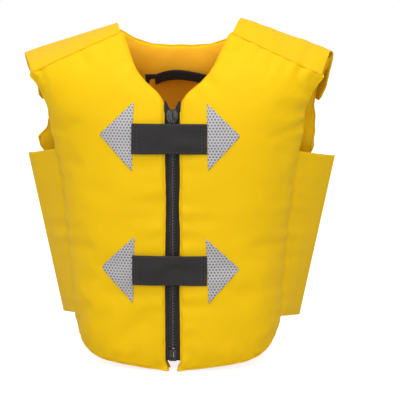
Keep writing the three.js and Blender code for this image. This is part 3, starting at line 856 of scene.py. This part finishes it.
def sampled(grid_points, uv):
    """A grid's values at shares (u, v), between its points."""
    rows, cols = grid_points.shape[:2]
    x = np.clip(uv[:, 0], 0, 1) * (cols - 1.001)
    y = np.clip(uv[:, 1], 0, 1) * (rows - 1.001)
    j, i = x.astype(int), y.astype(int)
    a, b = (x - j)[:, None], (y - i)[:, None]
    low = grid_points[i, j] * (1 - a) + grid_points[i, j + 1] * a
    return low * (1 - b) + (grid_points[i + 1, j] * (1 - a) + grid_points[i + 1, j + 1] * a) * b


def stitch_row(top, normal, at, ends, count, upright=False):
    """A straight row over a grid, at one share across it and between two shares along it."""
    line = np.stack([np.linspace(*ends, count), np.full(count, at)], -1)
    if upright:
        line = line[:, ::-1]
    return sampled(top, line), sampled(normal, line)


# One stitch's bead: shares of its length, and how full it is there.
STITCH = ((-0.5, 0.25), (-0.38, 0.85), (0.0, 1.0), (0.38, 0.85), (0.5, 0.25))


def sew(name, runs, body, material=yellow_thread, length=2.6, gap=1.3, radius=0.24, lift=0.08):
    """Rows of thread, one short closed bead for each stitch, lying on a surface."""
    points, faces = [], []
    angle = np.linspace(0, TAU, 6, endpoint=False)
    for path, normal in runs:
        laced = resampled(np.hstack([path, normal]), (length + gap) / 2)
        p, n = laced[:, :3], unit(laced[:, 3:])
        for k in range(1, len(p) - 1, 2):
            ahead = unit(p[k + 1] - p[k - 1])
            side = unit(np.cross(ahead, n[k]))
            circle = np.outer(np.cos(angle), side) + np.outer(np.sin(angle), n[k])
            rings = []
            for share, size in STITCH:
                arch = lift - 0.9 * radius * (2 * share) ** 2
                rings.append(p[k] + ahead * share * length + n[k] * arch + radius * size * circle)
            add_rings(points, faces, rings)
    placed(new_mesh(name, points, faces, material), body)


# Seam welts round each panel's two rims.
for panel in PANELS:
    for tag, inner in (("outer", False), ("inner", True)):
        path = resampled(np.vstack([panel.seam(inner), panel.seam(inner)[:1]]), 3.0)[:-1]
        welt = tube(f"{panel.name}_{tag}_welt", path, WELT, shell, loop=True)
        placed(welt, panel.body, "shell_fabric")


# ---------------------------------------------------------------- linings
for panel in PANELS:
    x, z = panel.plane[..., 0], panel.plane[..., 1]
    normal = grid_normal(panel.inner, -outward(panel.face, x * panel.side, z))
    crossed = ripple(panel.plane, 36.0, 71, (1.0, 5.0)) * np.clip((z - 200) / 110, 0.15, 1)
    lift = (1.7 + 1.5 * crossed) * np.clip((panel.depth - 2) / 16, 0, 1)
    if panel is back:
        # The lining lies flat where the hanger loop is sewn.
        lift *= 1 - 0.85 * window(x, 0, 75) * window(z, 325, 38)
    base = panel.inner + normal * (lift + 0.25)[..., None]
    sheet = slab(f"{panel.name}_inside", base, normal, 0.7, lining, panel.plane, 0.6, 1)
    placed(sheet, panel.body, "lining", f"{panel.name}_lining")
    x, z = panel.border.T


# ---------------------------------------------------------------- shoulder straps and tails
def shares(p0, p1, u):
    return np.asarray(p0) + (np.asarray(p1) - np.asarray(p0)) * u[..., None]


def lofted(rows, nv):
    """A grid through a few rows of points, along smooth curves."""
    keys = np.stack(rows)
    ends = np.concatenate([keys[:1], keys, keys[-1:]])
    step = np.linalg.norm(np.diff(keys, axis=0), axis=2).mean(1)
    reached = np.concatenate([[0], np.cumsum(step)]) / step.sum()
    at = np.interp(np.linspace(0, 1, nv + 1), reached, range(len(keys)))
    k = np.minimum(at.astype(int), len(keys) - 2)
    return through(*(ends[k + i] for i in range(4)), (at - k)[:, None, None])


def on_panel(u, v, side, height, past=(0.0, 0.0)):
    """A row of points resting on a front panel, at shares of its patch and then a little past them."""
    p = front_patch(u, v) + past
    s, z = p[..., 0] * side, p[..., 1]
    return off("front", s, z, settled("front", s, z, 0) + height)[0]


def shoulder(name, side):
    nu, nv = 26, 18
    u, v = mesh_grid(nu, nv)
    row = np.linspace(0.004, 0.996, nu + 1)
    inside = on_panel(row[None], np.ones((1, nu + 1)), side, 0.15)
    edge = on_panel(row[None], np.ones((1, nu + 1)), side, 0.5, (0, 2.0))
    q = shares(BACK_NECK_END, back_shoulder_end, row)
    fold = off("back", q[..., 0], q[..., 1], np.zeros(nu + 1)) + (0, -2, FOLD_HIGH[side])
    fold[:, 0] += FOLD_NECK[side] + (FOLD_ARM[side] - FOLD_NECK[side]) * row
    fold = fold * (side, 1, 1)
    rise = np.array((0, -0.45, 0.89))
    middle = edge + (fold - edge) * 0.32 + rise * STRAP_HIGH[side][0]
    crown = edge + (fold - edge) * 0.72 + rise * STRAP_HIGH[side][1]
    base = lofted([inside, edge, middle, crown, fold], nv)
    span = float(np.linalg.norm(np.diff(base, axis=0), axis=2).sum(0).mean())
    width = float(np.linalg.norm(fold[0] - fold[-1]))
    normal = grid_normal(base, np.array((0, -0.4, 1.0)))
    plane = np.stack([u * width, v * span], -1)
    loose = np.clip((v - 0.12) / 0.3, 0, 1) * np.clip((1 - v) / 0.15, 0, 1)
    bow = (0.5 if side > 0 else 0.35) * loose * (1 + ripple(plane, 19.0, 5 + side, (1.0, 3.2)))
    base = base + normal * bow[..., None]
    body, flap = f"front_{name}", f"shoulder_flap_{name}"
    strap = f"shoulder_strap_{name}"
    shell_sheet(f"{strap}_cloth", base, normal, 1.0, plane, 0.4, body, strap, 1)
    top = base + normal * 1.05
    sew(f"{strap}_stitches", [stitch_row(top, normal, m, (0.03, 0.97), 60) for m in (0.035, 0.95)], body)

    def tail(start, reach, margin, nu, nv, spread=True):
        u, v = mesh_grid(nu, nv)
        p = shares(BACK_NECK_END, back_shoulder_end, margin + u * (1 - 2 * margin))
        drop = start + (reach - start) * v
        # The tail's lower corners are rounded off.
        corner = 7.0 if spread else 0.0
        lift_u = np.minimum(u, 1 - u) * width
        arc = np.sqrt(np.maximum(corner**2 - (corner - lift_u) ** 2, 0))
        rise = np.where(lift_u < corner, corner - arc, 0)
        drop = drop - rise * v**3
        shift = FOLD_NECK[side] + (FOLD_ARM[side] - FOLD_NECK[side]) * u
        s, z = (p[..., 0] + shift - 0.06 * drop) * side, p[..., 1] - drop
        return s, z, np.stack([u * width, drop], -1)

    reach = 54.0
    _, loop_top, loop_normal = laid(
        f"shoulder_loop_{name}", "back", tail(18, reach + 14, 0.1, 16, 12, False), LOOP_LIES, TAPE,
        loop_cloth, "back", "loop_tape", f"shoulder_loop_tape_{name}",
    )
    laid(
        f"shoulder_hooks_{name}", "back", tail(22, reach - 4, 0.12, 14, 8, False), HOOKS_LIE, TAPE, hooks,
        flap, "hook_tape", f"shoulder_hook_tape_{name}",
    )
    grid = tail(2.8 - FOLD_HIGH[side], reach, 0.0, nu, 18)
    wave = 0.7 * ripple(grid[2], 30.0, 15 + side, (2.0, 1.0))
    piece, top, normal = laid(
        f"shoulder_tail_{name}", "back", grid, TAIL_LIES, 1.8, shell, flap, "shell_fabric", flap,
        stiff=3, wave=wave, hung=fold + (0, 1.2, -0.8),
    )
    fold_bead(f"shoulder_fold_{name}", fold + (0, 0.6, 0.2), body)
    sew(f"shoulder_tail_{name}_stitches", [outline_of(top, normal, 4.0)], flap)
    sew(f"shoulder_loop_{name}_stitches", [outline_of(loop_top, loop_normal, 2.0)], "back")


# ---------------------------------------------------------------- side flaps
def side_fold(v, side):
    return (FOLD_FOOT + (FOLD_TOP - FOLD_FOOT) * v[..., None]) * (side, 1, 1)


def side_flap(name, side):
    length = float(np.linalg.norm(FOLD_TOP - FOLD_FOOT))
    nu, nv = 18, 44
    u, v = mesh_grid(nu, nv)
    # The panel's side edge runs between these two shares of its patch.
    column = 0.655 * np.linspace(0.006, 0.994, nv + 1)[None]
    inside = on_panel(np.full((1, nv + 1), 1 - 5 / 175), column, side, -1.4)
    edge = on_panel(np.ones((1, nv + 1)), column, side, 0.3, (2.5, 0))
    fold = side_fold(np.linspace(0, 1, nv + 1), side)
    near = edge + (fold - edge) * 0.10 + (0.6 * side, -0.8, 0)
    last = edge + (fold - edge) * 0.985
    base = lofted([inside, edge, near, (near + last) / 2, last], nu).transpose(1, 0, 2)
    span = float(np.linalg.norm(np.diff(base, axis=1), axis=2).sum(1).mean())
    normal = grid_normal(base, np.array((side, -0.6, 0)))
    plane = np.stack([u * span, v * length], -1)
    loose = np.clip((u - 0.25) / 0.3, 0, 1) * np.clip((1 - u) / 0.2, 0, 1)
    bow = loose * (1.0 + 0.8 * ripple(plane, 60.0, 31 + side, (0.7, 1.5)))
    base = base + normal * bow[..., None]
    body = f"front_{name}"
    flap = f"side_flap_front_{name}"
    shell_sheet(f"side_front_{name}_cloth", base, normal, 1.0, plane, 0.4, body, flap)
    run_down = stitch_row(base + normal * 1.05, normal, 0.90, (0.02, 0.98), 120, True)
    sew(f"side_front_{name}_stitches", [run_down], body)
    fold_bead(f"side_fold_{name}", fold[[0, -1]], body)

    def on_back(opening, v):
        z = FOLD_FOOT[2] + 2 + (FOLD_TOP[2] - FOLD_FOOT[2] - 4) * v
        return (girth("back", z) - opening) * side, z

    def tape(near, far, margin, nu, nv):
        u, v = mesh_grid(nu, nv)
        s, z = on_back(near + (far - near) * u, margin + v * (1 - 2 * margin))
        return s, z, np.stack([u * (far - near), v * length], -1)

    tail_body = f"side_flap_{name}"
    _, loop_top, loop_normal = laid(
        f"side_loop_{name}", "back", tape(MEETS_BACK + 8, SIDE_TAIL_REACH + 14, 0.04, 14, 36), LOOP_LIES,
        TAPE, loop_cloth, "back", "loop_tape", f"side_loop_tape_{name}",
    )
    sew(f"side_loop_{name}_stitches", [outline_of(loop_top, loop_normal, 2.0)], "back")
    laid(
        f"side_hooks_{name}", "back", tape(MEETS_BACK + 12, SIDE_TAIL_REACH - 4, 0.06, 12, 36), HOOKS_LIE,
        TAPE, hooks, tail_body, "hook_tape", f"side_hook_tape_{name}",
    )

    # The tail runs straight from the fold to where it meets the back, and then along it.
    nu, nv = 30, 40
    u, v = mesh_grid(nu, nv)
    turn = 0.4

    def over_back(opening):
        s, z = on_back(opening, v)
        return off("back", s, z, settled("back", s, z, 3) + TAIL_LIES)

    from_fold = side_fold(v, side)
    share = (0.02 + 0.98 * np.minimum(u / turn, 1))[..., None]
    straight = from_fold + (over_back(MEETS_BACK) - from_fold) * share
    beyond = np.clip((u - turn) / (1 - turn), 0, 1)
    over = over_back(MEETS_BACK + (SIDE_TAIL_REACH - MEETS_BACK) * beyond)
    base = np.where((u < turn)[..., None], straight, over)
    # The corner where it meets the back is eased.
    for _ in range(3):
        base[:, 1:-1] = (base[:, :-2] + 2 * base[:, 1:-1] + base[:, 2:]) / 4
    normal = grid_normal(base, np.array((side, 0.9, 0.0)))
    reach = float(np.linalg.norm(np.diff(base, axis=1), axis=2).sum(1).mean())
    plane = np.stack([u * reach, v * length], -1)
    bow = np.sin(math.pi * np.clip(u / turn, 0, 1)) * (1.0 + 0.7 * ripple(plane, 55.0, 41 + side))
    base = base + normal * bow[..., None]
    shell_sheet(f"side_tail_{name}", base, normal, 1.6, plane, 0.6, tail_body, tail_body)
    sew(f"side_tail_{name}_stitches", [outline_of(base + normal * 1.65, normal, 4.0)], tail_body)


for tag, sign in SIDES.items():
    shoulder(tag, sign)
    side_flap(tag, sign)


# ---------------------------------------------------------------- bands and reflective triangles
def strip_grid(x0, x1, z0, z1, nu, nv):
    u, v = mesh_grid(nu, nv)
    s, z = x0 + (x1 - x0) * u, z0 + (z1 - z0) * v
    return s, z, np.stack([s, z], -1)


for level, middle in BANDS.items():
    low, high = middle - BAND_WIDTH / 2, middle + BAND_WIDTH / 2
    body = f"{level}_band"
    _, top, normal = laid(
        f"{body}_loop", "front", strip_grid(BAND_FREE_END + 6, -10, low + 2, high - 2, 16, 14), LOOP_LIES,
        TAPE, loop_dark, "front_right", "loop_tape", f"{body}_loop_tape",
    )
    sew(f"{body}_loop_stitches", [outline_of(top, normal, 1.8)], "front_right", dark_thread)
    laid(
        f"{body}_hooks", "front", strip_grid(BAND_FREE_END + 6, -13, low + 3, high - 3, 14, 12), 1.7, TAPE,
        hooks, body, "hook_tape", f"{body}_hook_tape",
    )
    grid = strip_grid(BAND_FREE_END, BAND_SEWN_END, low, high, 44, 18)
    # Over the tapes the band stands higher, and it drops to the panel at its sewn end.
    stands = np.interp(grid[0], [-44, -14, 12, 30, 38], [3.0, 3.0, 2.6, 0.9, 0.6])
    wave = 0.35 * ripple(grid[2], 40.0, 61, (1.6, 1.0))
    _, top, normal = laid(
        f"{body}_strap", "front", grid, stands, 1.7, webbing, body, "webbing", body, stiff=6, wave=wave,
    )
    runs = [stitch_row(top, normal, m, (0.06, 0.94), 30, True) for m in (0.035, 0.07, 0.93, 0.965)]
    runs += [stitch_row(top, normal, m, (0.02, 0.98), 80) for m in (0.055, 0.945)]
    sew(f"{body}_stitches", runs, body, dark_thread, radius=0.28)

    for tag, side in SIDES.items():
        u, v = mesh_grid(18, 24)
        half = PATCH_BASE[side] / 2 * (1 - 0.965 * u)
        lean = PATCH_SKEW[level] * (1 - 2 * v) * (1 - u)
        s = (PATCH_NEAR[side] + PATCH_REACH[side] * u + lean) * side
        z = middle + PATCH_RAISED[level] + (2 * v - 1) * half + 1.6 * u
        patch, body = f"{level}_patch_{tag}", f"front_{tag}"
        _, top, normal = laid(
            patch, "front", (s, z, np.stack([s, z], -1)), 0.25, 0.7, film, body, "reflective_film",
            f"{level}_triangle_{tag}", soft=0.4,
        )
        corners = [(0.045, 0.045), (0.045, 0.955), (0.90, 0.80), (0.90, 0.20), (0.045, 0.045)]
        path = np.vstack([np.linspace(a, b, 30) for a, b in zip(corners, corners[1:])])
        runs = [(sampled(top, path), sampled(normal, path))]
        sew(f"{patch}_stitches", runs, body, pale_thread, length=2.2, gap=1.0, radius=0.22)


# ---------------------------------------------------------------- zip
def tooth_outline(side, z):
    """One moulded tooth in X and Z: a foot on the cord, a waist, and a head past the middle line."""
    half = [(4.0, 1.25), (2.6, 1.25), (1.9, 0.75), (0.3, 0.62), (-0.5, 1.05), (-1.25, 1.12), (-1.65, 0.75)]
    line = [(x, z + h) for x, h in half] + [(x, z - h) for x, h in reversed(half)]
    return [(side * x, zz) for x, zz in line]


def nub(centre, radius=0.62, sides=8):
    """The rings of a small dome on a tooth, toward -Y."""
    angle = np.linspace(0, TAU, sides, endpoint=False)
    circle = radius * np.stack([np.cos(angle), np.zeros(sides), np.sin(angle)], -1)
    levels = ((0.0, 1.0), (-0.3, 0.86), (-0.5, 0.5))
    return [centre + circle * share + (0, height, 0) for height, share in levels]


def teeth(tag, side, first):
    points, faces, nub_points, nub_faces = [], [], [], []
    for k in range(TEETH):
        middle = first + k * TOOTH_PITCH + TOOTH_PITCH / 4
        outline = np.array(tooth_outline(side, middle))
        rings = []
        for y, shrink in ((-1.5, 0.80), (-1.1, 1.0), (1.1, 1.0), (1.5, 0.80)):
            x, z = (outline.mean(0) + (outline - outline.mean(0)) * shrink).T
            rings.append(np.stack([x, np.full(len(x), ZIP_PLANE + y), z], -1))
        add_rings(points, faces, rings)
        # A lighter grey dome on each left tooth: a painted highlight for the glint on the tooth tips.
        if side > 0:
            add_rings(nub_points, nub_faces, nub(np.array((0.0, ZIP_PLANE - 1.45, middle))))
    name, body = f"zip_row_{tag}", f"front_{tag}"
    row = new_mesh(name, points, faces, plastic, smooth=False)
    placed(row, body, "zip_plastic", f"zip_teeth_{tag}")
    cord_ends = [(side * 4.2, ZIP_PLANE, z) for z in (TEETH_FOOT - 1, TEETH_FOOT + TEETH * TOOTH_PITCH + 2)]
    cord = tube(f"{name}_cord", resampled(cord_ends, 4.0), 1.25, zip_cloth, sides=10)
    placed(cord, body, "zip_tape")
    if nub_points:
        placed(new_mesh(f"{name}_nubs", nub_points, nub_faces, highlight_nub_plastic), body, "zip_plastic")


for tag, side, first in (("left", 1, TEETH_FOOT), ("right", -1, TEETH_FOOT + TOOTH_PITCH / 2)):
    teeth(tag, side, first)
    u, v = mesh_grid(8, 120)
    z = ZIP_FOOT + (ZIP_TOP - ZIP_FOOT) * v
    # The tapes part above the slider.
    inner = 1.68 + 5.2 * np.clip((z - 287) / 13, 0, 1) ** 1.3
    x = side * (inner + (8.95 - inner) * u)
    plane = np.stack([x, z], -1)
    wave = 0.25 * ripple(plane, 30.0, 81 + side, (3.0, 1.0)) * u
    base = np.stack([x, ZIP_PLANE + 0.4 - 1.2 * u**2 + wave, z], -1)
    normal = np.zeros_like(base)
    normal[..., 1] = -1
    tape = slab(f"zip_cloth_{tag}", base, normal, 0.8, zip_cloth, plane, 0.2)
    placed(tape, f"front_{tag}", "zip_tape", f"zip_tape_{tag}")

for node, look, width in (
    ("zip_top_stop_left", plastic, 0.4), ("zip_top_stop_right", plastic, 0.4), ("zip_box", plastic, 0.5),
    ("zip_pin", plastic, 0.3), ("zip_slider", enamel, 0.45), ("zip_slider_back", enamel, 0.35),
    ("zip_slider_bridge", enamel, 0.3), ("zip_pull", enamel, 0.3),
):
    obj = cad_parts[node]
    obj.data.materials.clear()
    obj.data.materials.append(look)
    bevel = obj.modifiers.new("edges", "BEVEL")
    bevel.width, bevel.segments, bevel.limit_method = width * MM, 2, "ANGLE"


# ---------------------------------------------------------------- hanger loop
def webbing_strip(name, x0, x1, nu, lift, body, node):
    """A run of the hanger's webbing between two places across the back, with its top grid and normals."""
    u, v = mesh_grid(nu, 4)
    s = x0 + (x1 - x0) * u
    share = np.clip((s + LOOP_HALF) / (2 * LOOP_HALF), 0, 1)
    bow = np.sin(math.pi * (share + 0.06 * np.sin(math.pi * share)))
    z = LOOP_HEIGHT + LOOP_RISE * bow + (v - 0.5) * LOOP_WIDTH
    base = off("back", s, z, -PANEL_THICKNESS - 1.6 - LOOP_STANDOFF * bow - lift)
    normal = grid_normal(base, -outward("back", s, z))
    placed(slab(name, base, normal, 1.5, hanger_web, np.stack([s, z], -1), 0.3), body, "webbing", node)
    return base + normal * 1.5, normal


webbing_strip("hanger_strap", -LOOP_HALF - 0.2, LOOP_HALF + 0.2, 40, 1.9, "hanger_loop", "hanger_loop")
for tag, side in SIDES.items():
    inner, outer = side * LOOP_HALF, side * (LOOP_HALF + 12)
    top, normal = webbing_strip(f"hanger_end_{tag}", inner, outer, 8, 0.6, "back", f"hanger_tab_{tag}")
    sew(f"hanger_end_{tag}_stitches", [outline_of(top, normal, 1.8)], "back", dark_thread)

# ---------------------------------------------------------------- floor, light, camera
SKY_BEHIND, SKY_FRONT = 0.62, 0.80
SKY_TINT = (1, 0.96, 0.90, 1)
FLOOR_GLOW = 0.80
FLOOR_HALF, FLOOR_DROP = 4000, 1.2
WHITE = (1, 1, 1, 1)
scene = bpy.context.scene
scene.world = bpy.data.worlds.new("studio")
sky = Nodes(scene.world)
direction = sky.put("ShaderNodeTexCoord").outputs["Generated"]
ahead = sky.put("ShaderNodeSeparateXYZ", {0: direction}).outputs["Y"]
glow = sky.tree.nodes["Background"]
glow.inputs["Color"].default_value = SKY_TINT
sky.tree.links.new(sky.ramp(ahead, 0.3, -1.0, SKY_BEHIND, SKY_FRONT), glow.inputs["Strength"])
backdrop = sky.put("ShaderNodeBackground", {"Color": WHITE})
seen = sky.put("ShaderNodeLightPath").outputs["Is Camera Ray"]
choice = sky.put("ShaderNodeMixShader", {0: seen, 1: glow.outputs[0], 2: backdrop.outputs[0]})
sky.tree.links.new(choice.outputs[0], sky.tree.nodes["World Output"].inputs["Surface"])
scene.view_settings.view_transform = "Standard"
scene.view_settings.look = "None"

around = ((-1, -1), (1, -1), (1, 1), (-1, 1))
floor_points = [(x * FLOOR_HALF, y * FLOOR_HALF, -FLOOR_DROP) for x, y in around]
pale = Nodes(bpy.data.materials.new("pale_floor"))
pale.set(Roughness=0.9, Specular_IOR_Level=0.1)
pale.shader.inputs["Base Color"].default_value = (0.55, 0.55, 0.55, 1)
pale.shader.inputs["Emission Color"].default_value = WHITE
bright = pale.put("ShaderNodeLightPath").outputs["Is Camera Ray"]
pale.link(pale.math("MULTIPLY", bright, FLOOR_GLOW), "Emission Strength")
floor = new_mesh("studio_floor", floor_points, [(0, 1, 2, 3)], pale.owner, smooth=False)


def area_light(name, where, target, size, power):
    data = bpy.data.lights.new(name, "AREA")
    data.size, data.energy = size, power
    lamp = bpy.data.objects.new(name, data)
    scene.collection.objects.link(lamp)
    lamp.location = where
    lamp.rotation_mode = "QUATERNION"
    lamp.rotation_quaternion = (Vector(target) - Vector(where)).to_track_quat("-Z", "Y")


area_light("key", (0.45, -2.1, 1.35), (0, 0, 0.2), 1.1, 11.5)
area_light("fill", (-0.7, -2.1, 0.7), (0, 0, 0.2), 1.2, 5.0)
area_light("top", (0.0, -0.6, 2.1), (0, 0, 0.3), 1.2, 17.0)

AZIMUTH, ELEVATION, AWAY, LENS = math.radians(4.5), math.radians(9), 2.0, 157.56
aim = Vector((0.0232, 0, 0.178))
towards = Vector((
    math.sin(AZIMUTH) * math.cos(ELEVATION), -math.cos(AZIMUTH) * math.cos(ELEVATION), math.sin(ELEVATION),
))
camera = bpy.data.objects.new("camera", bpy.data.cameras.new("camera"))
camera.data.lens, camera.data.sensor_width = LENS, 36.0
camera.location = aim + towards * AWAY
camera.rotation_mode = "QUATERNION"
camera.rotation_quaternion = (-towards).to_track_quat("-Z", "Y")
camera.data.clip_start, camera.data.clip_end = 0.05, 50.0
scene.collection.objects.link(camera)
scene.camera = camera
